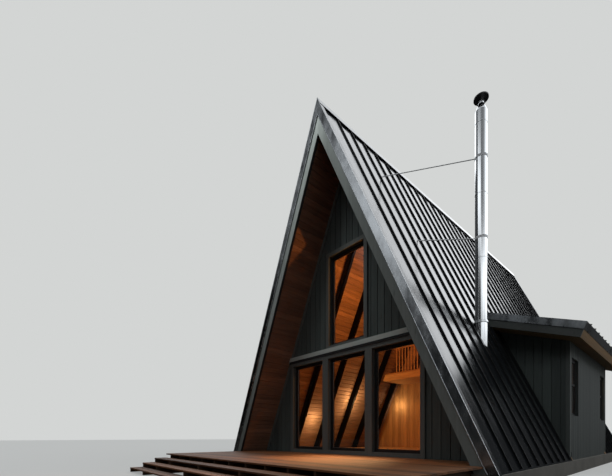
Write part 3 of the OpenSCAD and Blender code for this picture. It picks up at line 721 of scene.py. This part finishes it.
class CABIN_OT_finishes(bpy.types.Operator):
    """Makes the finishes and coats the CAD nodes that stay"""

    bl_idname = "cabin.finishes"
    bl_label = "Finishes"

    def execute(self, context):
        boards, colours = context.scene.cabin_boards, context.scene.cabin_colours
        stained_timbers(boards, colours)
        oiled_timbers(boards, colours)
        plain_timbers()
        roof_metals(colours)
        fittings()
        clear_glazing()
        cast_concrete()
        for finish, node_names in (
            ("cast_concrete", "foundation_slab footings"),
            ("oiled_beam_timber", "floor loft_floor loft_railing"),
            ("oiled_upright_boards", "partition"),
            ("spruce_sheathing", "roof_left roof_right_upper roof_right_lower wing_roof"),
            ("oiled_cedar_lining", "lining"),
            ("painted_shade_seam_steel", "metal_roof_left metal_roof_right"),
            ("baked_charcoal_steel", "wing_metal_roof ridge_cap"),
            ("bent_charcoal_steel_painted_sheen", "rake_trims"),
            ("painted_shade_wing_steel", "wing_trims wing_flashing"),
            ("stained_trim_upright", "front_posts front_window_casings rear_window_casings soffit_trims"),
            ("painted_light_rake_trim", "rake_boards"),
            ("painted_light_band_trim", "belly_bands"),
            ("painted_shade_trim_side", "wing_boards"),
            ("stained_boards_across_front", "front_wall_upper front_wall_lower rear_wall wing_end_walls"),
            ("painted_shade_boards_along_side", "wing_side_wall"),
            ("black_powder_coat", "front_window_frames rear_window_frames wing_window_frames"),
            ("float_glass", "front_window_glass rear_window_glass wing_window_glass"),
            ("black_stained_fir", "rafters_left rafters_right"),
            ("polished_stainless", "flue_pipe flue_flashing"),
            ("galvanised_steel", "flue_stays"),
            ("black_stove_enamel", "flue_cap"),
            ("weathered_cedar_deck", "deck_boards"),
            ("weathered_cedar_treads", "step_treads"),
            ("treated_pine_framing", "deck_joists deck_beams step_stringers"),
        ):
            for node_name in node_names.split():
                slots = NODES[node_name].data.materials
                slots.clear()
                slots.append(bpy.data.materials[finish])
        return {"FINISHED"}


# Pieces


class CABIN_OT_wall_boards(bpy.types.Operator):
    """Covers the outside walls with upright boards and open grooves"""

    bl_idname = "cabin.wall_boards"
    bl_label = "Wall boards"

    def execute(self, context):
        boards = context.scene.cabin_boards
        cover = boards.wall_coverage
        half = math.ceil(WALL_REACH / cover)
        gable = (-half, 2 * half)
        first = math.floor(low("wing_end_walls").x / cover)
        count = math.ceil(WING_FACE / cover) - first + 1
        length = (0, math.ceil((WING_REAR - WING_FRONT) / cover))
        front, corner = (0, FRONT_FACE, 0), (WING_FACE, WING_FRONT, 0)
        across, side, slot_name = "stained_boards_across_front", "painted_shade_boards_along_side", "painted_boards"
        walls = (
            ("front_wall_boards", across, slot_name, (
                ("front_wall_lower", front, -Y, gable),
                ("front_wall_upper", front, -Y, gable),
            )),
            ("rear_wall_boards", across, slot_name, (("rear_wall", (0, REAR_FACE, 0), Y, gable),)),
            ("wing_end_boards", across, slot_name, (
                ("wing_end_walls", (0, WING_FRONT, 0), -Y, (first, count)),
                ("wing_end_walls", (0, WING_REAR, 0), Y, (-first - count, count)),
            )),
            ("wing_side_boards", side, slot_name, (
                ("wing_side_wall", corner, X, length),
                ("wing_end_walls", corner, X, length),
            )),
        )
        depth = (SUNK, boards.wall_thickness)
        boarded_walls(walls, {"cover": cover, "gap": boards.wall_groove, "depth": depth, "chamfer": 0.0022})
        return {"FINISHED"}


class CABIN_OT_lining(bpy.types.Operator):
    """Lines the underside of the roofs with tongue-and-groove boards"""

    bl_idname = "cabin.lining"
    bl_label = "Roof lining"

    def execute(self, context):
        boards = context.scene.cabin_boards
        cover = boards.lining_coverage
        style = {"cover": cover, "gap": 0.008, "chamfer": boards.lining_chamfer}
        lo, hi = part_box("lining")
        past_peak, thick = 0.3, 0.0202
        count = math.ceil(((WALL_TOP - lo.z) / math.sin(SLOPE) + past_peak) / cover)
        span = lo.y - SPARE, hi.y + SPARE
        parts = [
            board_row(
                ["lining"], (0, 0, WALL_TOP), Y, -roof_normal(side), (first, count), span,
                depth=(thick, 0), push=0, **style
            )
            for side, first in ((-1, 0), (1, -count))
        ]
        piece("lining_boards", parts, "oiled_cedar_lining", ["lining"])

        # the wing's ceiling, which runs out into its eaves
        downwards = Vector((-math.sin(WING_SLOPE), 0, -math.cos(WING_SLOPE)))
        lo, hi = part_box("wing_roof")
        run = (0, math.ceil((hi.x - lo.x) / math.cos(WING_SLOPE) / cover))
        span = lo.y - SPARE, hi.y + SPARE
        depth = (SUNK, 0.012)
        ceiling = board_row(["wing_roof"], (hi.x, 0, lo.z), Y, downwards, run, span, depth=depth, **style)
        piece("wing_ceiling_boards", [ceiling], "oiled_cedar_eaves")
        return {"FINISHED"}


class CABIN_OT_inner_boards(bpy.types.Operator):
    """Lays the floor boards and lines the inner faces of the walls"""

    bl_idname = "cabin.inner_boards"
    bl_label = "Inner boards"

    def execute(self, context):
        boards = context.scene.cabin_boards
        depth = (SUNK, 0.014)
        cover = boards.floor_coverage
        half = math.ceil(WALL_REACH / cover)
        style = {"cover": cover, "gap": 0.001, "depth": depth, "chamfer": 0.0015}
        lo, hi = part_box("loft_floor")
        nosing = 0.004
        for name, node, ends in (
            ("floor_boards", "floor", (FRONT_BACK, REAR_BACK)),
            ("loft_boards", "loft_floor", (lo.y - nosing, hi.y)),
        ):
            floor = board_row([node], (0, 0, high(node).z), Y, Z, (-half, 2 * half + 2), ends, **style)
            piece(name, [floor], "oiled_floor_boards")

        cover = boards.lining_coverage
        half = math.ceil(WALL_REACH / cover)
        style = {"cover": cover, "gap": 0.0008, "depth": depth, "chamfer": boards.lining_chamfer * 0.7}
        under = board_row(["loft_floor"], (0, 0, lo.z), Y, -Z, (-half, 2 * half), (lo.y, hi.y), **style)
        piece("loft_ceiling_boards", [under], "oiled_floor_boards")

        upright, front = "oiled_upright_boards", (0, FRONT_BACK, 0)
        room, wing = (-half, 2 * half), (-half - 2, 2 * half + 4)
        walls = (
            ("inner_wall_boards", upright, "cedar_lining", (
                ("front_wall_lower", front, Y, room),
                ("front_wall_upper", front, Y, room),
                ("rear_wall", (0, REAR_BACK, 0), -Y, room),
            )),
            ("partition_boards", upright, "inner_timber", (
                ("partition", (0, low("partition").y, 0), -Y, room),
                ("partition", (0, high("partition").y, 0), Y, room),
            )),
            ("wing_inner_boards", upright, "inner_timber", (
                ("wing_end_walls", (0, WING_FRONT + WALL_DEPTH, 0), Y, wing),
                ("wing_end_walls", (0, WING_REAR - WALL_DEPTH, 0), -Y, wing),
                ("wing_side_wall", (WING_BACK, 0, 0), -X, wing),
            )),
        )
        boarded_walls(walls, style)
        return {"FINISHED"}


class CABIN_OT_deck(bpy.types.Operator):
    """Lays the deck boards and the boards of the steps, with their screws"""

    bl_idname = "cabin.deck"
    bl_label = "Deck and steps"

    def execute(self, context):
        gap = context.scene.cabin_boards.deck_gap
        lo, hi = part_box("deck_boards")
        # boards butt over a joist, every other row over a different one, with a narrow joint
        joint, trimmed = 0.003, 0.01
        parts = []
        for odd, butt in enumerate((-1.19, 1.25)):
            start = lo.y + odd * DECK_PITCH
            lengths = [
                self.plank(left, right, start + gap / 2, start + DECK_PITCH - gap / 2, hi.z)
                for left, right in ((lo.x - trimmed, butt - joint / 2), (butt + joint / 2, hi.x + trimmed))
            ]
            rows = (DECK_ROWS + 1 - odd) // 2
            parts.append(row_of(joined("board", lengths), (0, 2 * DECK_PITCH, 0), rows))
        deck = cut(joined("board", parts), ["deck_boards"])
        piece("deck_planks", [deck], "weathered_cedar_deck", ["deck_boards"])
        joists = [round((a.x + b.x) / 2, 3) for a, b in boxes_of("deck_joists")]
        screws = [self.screws(lo.y, hi.z, DECK_PITCH, DECK_ROWS, joists)]

        lo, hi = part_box("step_treads")
        rise = (hi.z - lo.z - PLANK_THICK) / (STEPS - 1)
        stringers = [(a.x + b.x) / 2 for a, b in boxes_of("step_stringers")]
        parts = []
        for step in range(STEPS):
            top = lo.z + PLANK_THICK + step * rise
            front = lo.y + 2 * step * TREAD_PITCH
            middle, back = front + TREAD_PITCH, front + 2 * TREAD_PITCH
            parts.append(self.plank(lo.x, hi.x, front, middle - gap / 2, top))
            parts.append(self.plank(lo.x, hi.x, middle + gap / 2, back, top))
            screws.append(self.screws(front, top, TREAD_PITCH, 2, stringers))
        piece("step_planks", parts, "weathered_cedar_treads", ["step_treads"])
        piece("deck_screws", screws, "coated_screw_steel")
        return {"FINISHED"}

    @staticmethod
    def plank(left, right, front, back, top):
        """One plank with its long upper edges rounded."""
        board = block("board", (left, front, top - PLANK_THICK), (right, back, top))
        return ease_edges(board, running(X, top - HAIR), width=0.004, segments=2)

    @staticmethod
    def screws(start, top, pitch, rows, supports):
        """Two screw heads in every board over each support, 9 mm across and 1.2 mm proud."""
        radius, long, proud, rounding = 0.0045, 0.004, 0.0012, 0.0008
        place = (0, start + pitch / 4, top + proud - long / 2)
        bpy.ops.object.select_all(action="DESELECT")
        bpy.ops.mesh.primitive_cylinder_add(vertices=8, radius=radius, depth=long, location=place)
        screw = settle(bpy.context.object)
        ease_edges(screw, lambda middle, way: middle.z > top + proud - 2 * HAIR, rounding)
        return copies_at(row_of(screw, (0, pitch / 2, 0), 2 * rows), [(x, 0, 0) for x in supports])


class CABIN_OT_pans(bpy.types.Operator):
    """Lays the roof's pans between the seams, so that the seams stand an inch high"""

    bl_idname = "cabin.pans"
    bl_label = "Roof pans"

    def execute(self, context):
        lift = context.scene.cabin_boards.pan_lift
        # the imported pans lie 44 mm under the rakes' top
        packed_depth, skin, thick, spare = 0.044, 0.0005, 0.0075, 0.1
        top = lift - packed_depth + skin
        for side, node in ((-1, "metal_roof_left"), (1, "metal_roof_right")):
            lo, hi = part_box(node)
            reach = (RAKE_PEAK - lo.z) / math.sin(SLOPE) + spare
            left, right = (0, reach) if side > 0 else (-reach, 0)
            slab = block("slab", (left, lo.y - spare, top - thick), (right, hi.y + spare, top))
            placed(slab, (0, 0, RAKE_PEAK), Y, roof_normal(side))
            pans = cut(slab, [node], roof_normal(side) * lift)
            piece(node.replace("metal_roof", "roof_pans"), [pans], "baked_charcoal_steel")
        return {"FINISHED"}


class CABIN_OT_hems(bpy.types.Operator):
    """Folds the rounded hems along the edges of the rakes, and fits black strips that paint the shadow under
    the rake boards
    """

    bl_idname = "cabin.hems"
    bl_label = "Rake hems"

    def execute(self, context):
        lo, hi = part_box("rake_trims")
        width = context.scene.cabin_boards.hem_width
        # a fold along the top edge, and the hem along the lower edge
        folds = ((0.004, 0.010), (RAKE_METAL_H, width))
        parts = [
            up_the_rake(lo.z, RAKE_PEAK - depth / math.cos(SLOPE), face, side, out, thick, thick, thick * 0.3)
            for face, out in ((lo.y, -Y), (hi.y, Y))
            for side in (-1, 1)
            for depth, thick in folds
        ]
        piece("rake_hems", parts, "rubbed_hem_steel")

        # black strips under the rake boards' inner edges, in the joint with the lining: painted shadow for
        # the dark gap there
        lo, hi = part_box("rake_boards")
        thick, width, inset, lift, radius = 0.006, 0.066, 0.002, 0.01, 0.0015
        parts = []
        for y in (lo.y + inset + width / 2, hi.y - inset - width / 2):
            for side in (-1, 1):
                inwards = -roof_normal(side)
                sunk = inwards * thick / 2
                parts.append(
                    up_the_rake(DECK_TOP + lift, WALL_TOP, y, side, inwards, width, thick, radius, sunk)
                )
        piece("rake_painted_shadow", parts, "black_rubber_and_painted_shadow")
        return {"FINISHED"}


class CABIN_OT_glazing(bpy.types.Operator):
    """Puts spacers between the panes and beads round them"""

    bl_idname = "cabin.glazing"
    bl_label = "Glazing beads"

    def execute(self, context):
        edge, spacer, pane = 0.003, 0.013, 0.006
        bead, proud, lap, radius = 0.009, 0.014, 0.001, 0.004
        spacers, beads = [], []
        for node, way in (("front_window_glass", X), ("rear_window_glass", X), ("wing_window_glass", Y)):
            u, v = (0, 1) if way == X else (1, 0)
            for lo, hi in boxes_of(node):
                rect = (lo[u], hi[u], lo.z, hi.z)
                inset = (lo[u] + edge, hi[u] - edge, lo.z + edge, hi.z - edge)
                spacers += surround(inset, spacer, lo[v] + pane, hi[v] - pane, way, radius=0.001)
                beads += surround(rect, bead, lo[v] - proud, lo[v] + lap, way, radius)
                beads += surround(rect, bead, hi[v] - lap, hi[v] + proud, way, radius)
        piece("pane_spacers", spacers, "mill_aluminium")
        piece("glazing_beads", beads, "black_rubber_and_painted_shadow")
        return {"FINISHED"}


class CABIN_OT_band_shadow_strips(bpy.types.Operator):
    """Fits black strips along the foot of the belly bands: painted shadow under the bands"""

    bl_idname = "cabin.vents"
    bl_label = "Band shadow strips"

    def execute(self, context):
        lo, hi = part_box("belly_bands")
        below, behind, proud, clearance = 0.022, 0.045, 0.004, 0.01
        bottom, top = lo.z - below, lo.z + behind
        half = (WALL_TOP - top) / math.tan(SLOPE) - clearance
        parts = []
        for near, far in ((lo.y - proud, FRONT_FACE), (REAR_FACE, hi.y + proud)):
            # painted shadow: a black strip where the belly band's shadow falls on the wall
            bar = block("bar", (-half, near, bottom), (half, far, top))
            parts.append(ease_edges(bar, running(X), width=0.003))
        piece("band_painted_shadow", parts, "black_rubber_and_painted_shadow")
        return {"FINISHED"}


class CABIN_OT_wing_corners(bpy.types.Operator):
    """Covers the wing's outer corners with upright trims"""

    bl_idname = "cabin.wing_corners"
    bl_label = "Wing corners"

    def execute(self, context):
        proud = context.scene.cabin_boards.wall_thickness + 0.008
        width, sunk = 0.06, 0.02
        lo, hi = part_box("wing_roof")
        bottom = low("wing_side_wall").z
        top = lo.z + (hi.x - WING_FACE) * math.tan(WING_SLOPE) + sunk
        parts = []
        for face, side in ((WING_FRONT, -1), (WING_REAR, 1)):
            for left, one, other in (
                (WING_FACE - width, face, face + side * proud),
                (WING_FACE, face - side * width, face),
            ):
                near, far = sorted((one, other))
                board = block("board", (left, near, bottom), (WING_FACE + proud, far, top))
                parts.append(ease_edges(board, running(Z), width=0.003))
        piece("wing_corner_trims", parts, "stained_trim_upright")
        return {"FINISHED"}


class CABIN_OT_flue_rings(bpy.types.Operator):
    """Rolls the joint bands of the flue"""

    bl_idname = "cabin.flue_rings"
    bl_label = "Flue bands"

    def execute(self, context):
        lo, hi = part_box("flue_pipe")
        x, y = (lo.x + hi.x) / 2, (lo.y + hi.y) / 2
        radius = (hi.x - lo.x) / 2
        # heights of the joints between the lengths of pipe
        joints = (7.955, 6.35, 4.9)
        proud, height = 0.004, 0.03
        parts = [ring((x, y, z), radius + proud, height, proud) for z in joints]
        piece("flue_bands", parts, "polished_stainless")
        return {"FINISHED"}


# Stage


def studio_floor():
    """A pale floor to look at, lit a little from below, which throws back no more light than a dull one."""
    bpy.ops.object.select_all(action="DESELECT")
    bpy.ops.mesh.primitive_circle_add(vertices=96, radius=90, fill_type="NGON", location=(0, 0, 0))
    ground = bpy.context.object
    ground.name = ground.data.name = "studio_floor"
    tree, place = start_finish("pale_studio_floor")
    pale = add(tree, "BsdfDiffuse", {"Color": linear("#e2e3e1")})
    lit = add(tree, "Emission", {"Color": linear(BACKDROP)})
    seen = add(tree, "MixShader", {"Fac": 0.45, 1: pale, 2: lit})
    dull = add(tree, "BsdfDiffuse", {"Color": linear("#4a4946")})
    # gloss sees the pale floor too, but only far out on the wing's side, where the flue mirrors it
    path = add(tree, "LightPath").outputs
    sideways = add(tree, "SeparateXYZ", {0: place})
    far = add(tree, "MapRange", {"Value": sideways, "From Min": 7, "From Max": 9})
    mirrored = add(tree, "Math", {0: far, 1: path["Is Glossy Ray"]}, operation="MULTIPLY")
    share = add(tree, "Math", {0: mirrored, 1: path["Is Camera Ray"]}, operation="MAXIMUM")
    add(tree, "OutputMaterial", {"Surface": add(tree, "MixShader", {"Fac": share, 1: dull, 2: seen})})
    ground.data.materials.append(bpy.data.materials["pale_studio_floor"])


def soft_sky(sky_power):
    """A large softbox over and behind the cabin, a smaller one in front of it, and an even backdrop."""
    world = bpy.data.worlds.new("soft_sky")
    world.use_nodes = True
    tree = world.node_tree
    tree.nodes.clear()
    parts = add(tree, "SeparateXYZ", {0: add(tree, "TexCoord").outputs["Generated"]}).outputs
    # the bright part comes lower on the wing's side
    tilt = add(tree, "MapRange", {"Value": parts["X"], "From Min": 0.2, "From Max": 0.45, "To Max": 0.16})
    height = add(tree, "Math", {0: parts["Z"], 1: tilt}, operation="ADD")
    front, back = (
        add(tree, "ValToRGB", {"Fac": height}, [(at, tones(SKY_COLOUR, level)[0]) for at, level in light])
        for light in (FRONT_SOFTBOX, BACK_SOFTBOX)
    )
    behind = add(tree, "MapRange", {"Value": parts["Y"], "From Min": -0.25, "From Max": 0.25})
    # the front softbox ends at the left rake
    shade = add(tree, "MapRange", {
        "Value": parts["X"], "From Min": -0.5, "From Max": -0.58, "To Min": 1, "To Max": 0.08,
    })
    shaded = add(tree, "VectorMath", {0: front, "Scale": shade}, operation="SCALE")
    sky = add(tree, "Mix", {"Factor": behind, 6: shaded, 7: back}, data_type="RGBA").outputs[2]
    # gloss sees a pale card low on the wing's side
    path = add(tree, "LightPath").outputs
    beside = add(tree, "MapRange", {"Value": parts["X"], "From Min": 0.62, "From Max": 0.76})
    under = add(tree, "MapRange", {"Value": parts["Z"], "From Min": 0.33, "From Max": 0.25})
    card = add(tree, "Math", {0: beside, 1: under}, operation="MULTIPLY")
    held = add(tree, "Math", {0: card, 1: path["Is Glossy Ray"]}, operation="MULTIPLY")
    sky = add(tree, "Mix", {"Factor": held, 6: sky, 7: (0.7, 0.7, 0.7, 1)}, data_type="RGBA").outputs[2]
    # gloss mirrors the sky at full strength, the rest of the light is softer
    level = add(tree, "MapRange", {
        "Value": path["Is Glossy Ray"], "To Min": 0.5 * sky_power, "To Max": sky_power,
    })
    lit = add(tree, "Background", {"Color": sky, "Strength": level})
    backdrop = add(tree, "Background", {"Color": linear(BACKDROP), "Strength": 1})
    add(tree, "OutputWorld", {
        "Surface": add(tree, "MixShader", {"Fac": path["Is Camera Ray"], 1: lit, 2: backdrop}),
    })
    bpy.context.scene.world = world


def hang_light(name, kind, place, watts, colour):
    """Adds a light that neither the camera nor gloss sees."""
    light = bpy.data.lights.new(name, kind)
    light.energy, light.color = watts, linear(colour)[:3]
    holder = bpy.data.objects.new(name, light)
    holder.location = place
    holder.visible_camera = holder.visible_glossy = False
    bpy.context.scene.collection.objects.link(holder)
    return holder


def cabin_lights(glow_power, sky_power):
    """The warm light indoors, the glow of the windows on the deck, and a softbox over the peak."""
    for name, place, watts, radius, colour in (
        ("gallery_light", (0.4, -4.1, 4.6), 215, 0.06, "#ffa555"),
        ("room_light", (0.4, -2.9, 2.7), 26, 0.08, "#ffb068"),
        ("wall_light", (-2.22, -2.3, 2.03), 66, 0.08, "#ffd49e"),
        ("corner_light", (-2.6, -3.85, 1.34), 34, 0.08, "#ffd49e"),
        ("loft_light", (0.2, 1.6, 4.3), 170, 0.15, "#ffa555"),
        ("partition_light", (-2.1, -0.08, 2.1), 11, 0.08, "#ffe6c8"),
        ("wing_light", (2.9, 0.7, 2.5), 40, 0.15, "#ffcf98"),
    ):
        hang_light(name, "POINT", place, watts * glow_power, colour).data.shadow_soft_size = radius
    for name, place, aim, size, watts, colour in (
        # fades down the rakes
        ("peak_softbox", (-0.3, -7.4, 9.6), (0, -6.4, 7.4), (1.0, 0.8), 40 * sky_power, "#ffffff"),
        ("window_glow", (0.55, -6.15, 1.6), (0.55, -6.95, 0.3), (1.9, 1.6), 34 * glow_power, "#ffc88c"),
    ):
        panel = hang_light(name, "AREA", place, watts, colour)
        panel.rotation_euler = (Vector(aim) - Vector(place)).to_track_quat("-Z", "Y").to_euler()
        panel.data.shape = "RECTANGLE"
        panel.data.size, panel.data.size_y, panel.data.spread = *size, math.radians(90)
        # the deck mirrors the windows' glow, but nothing mirrors the softbox
        panel.visible_glossy = name == "window_glow"


def photo_camera():
    """The camera as it was solved, with its lens shifted so that upright lines stay parallel."""
    data = bpy.data.cameras.new("photo_camera")
    data.lens, data.sensor_width, data.sensor_fit = CAMERA_LENS_MM, 36, "HORIZONTAL"
    data.shift_y = CAMERA_SHIFT_Y
    data.clip_start, data.clip_end = 0.05, 300
    camera = bpy.data.objects.new("photo_camera", data)
    camera.location, camera.rotation_euler = CAMERA_PLACE, CAMERA_TURN
    bpy.context.scene.collection.objects.link(camera)
    bpy.context.scene.camera = camera


class CABIN_OT_stage(bpy.types.Operator):
    """Sets the pale floor, the soft sky, the lights and the camera"""

    bl_idname = "cabin.stage"
    bl_label = "Stage"

    def execute(self, context):
        power = context.scene.cabin_colours
        studio_floor()
        soft_sky(power.sky_power)
        cabin_lights(power.glow_power, power.sky_power)
        photo_camera()
        context.scene.view_settings.view_transform = "Standard"
        context.scene.view_settings.look = "None"
        return {"FINISHED"}


# Panel and start


class CABIN_PT_panel(bpy.types.Panel):
    """Lists the cabin's pieces and sizes"""

    bl_label = "A-frame Cabin"
    bl_idname = "CABIN_PT_panel"
    bl_space_type = "VIEW_3D"
    bl_region_type = "UI"
    bl_category = "Cabin"

    def draw(self, context):
        for group in (context.scene.cabin_boards, context.scene.cabin_colours):
            for name in group.bl_rna.properties.keys():
                if name not in ("rna_type", "name"):
                    self.layout.prop(group, name)
        for operator in OPERATORS:
            self.layout.operator(operator.bl_idname)


OPERATORS = (
    CABIN_OT_finishes,
    CABIN_OT_wall_boards,
    CABIN_OT_lining,
    CABIN_OT_inner_boards,
    CABIN_OT_deck,
    CABIN_OT_pans,
    CABIN_OT_hems,
    CABIN_OT_glazing,
    CABIN_OT_band_shadow_strips,
    CABIN_OT_wing_corners,
    CABIN_OT_flue_rings,
    CABIN_OT_stage,
)
CLASSES = (CabinBoards, CabinColours, *OPERATORS, CABIN_PT_panel)


def register():
    for cls in CLASSES:
        bpy.utils.register_class(cls)
    bpy.types.Scene.cabin_boards = bpy.props.PointerProperty(type=CabinBoards)
    bpy.types.Scene.cabin_colours = bpy.props.PointerProperty(type=CabinColours)


def unregister():
    del bpy.types.Scene.cabin_boards, bpy.types.Scene.cabin_colours
    for cls in reversed(CLASSES):
        bpy.utils.unregister_class(cls)


def main():
    """Builds every piece in order."""
    register()
    bpy.ops.cabin.finishes()
    bpy.ops.cabin.wall_boards()
    bpy.ops.cabin.lining()
    bpy.ops.cabin.inner_boards()
    bpy.ops.cabin.deck()
    bpy.ops.cabin.pans()
    bpy.ops.cabin.hems()
    bpy.ops.cabin.glazing()
    bpy.ops.cabin.vents()
    bpy.ops.cabin.wing_corners()
    bpy.ops.cabin.flue_rings()
    bpy.ops.cabin.stage()


if __name__ == "__main__":
    main()
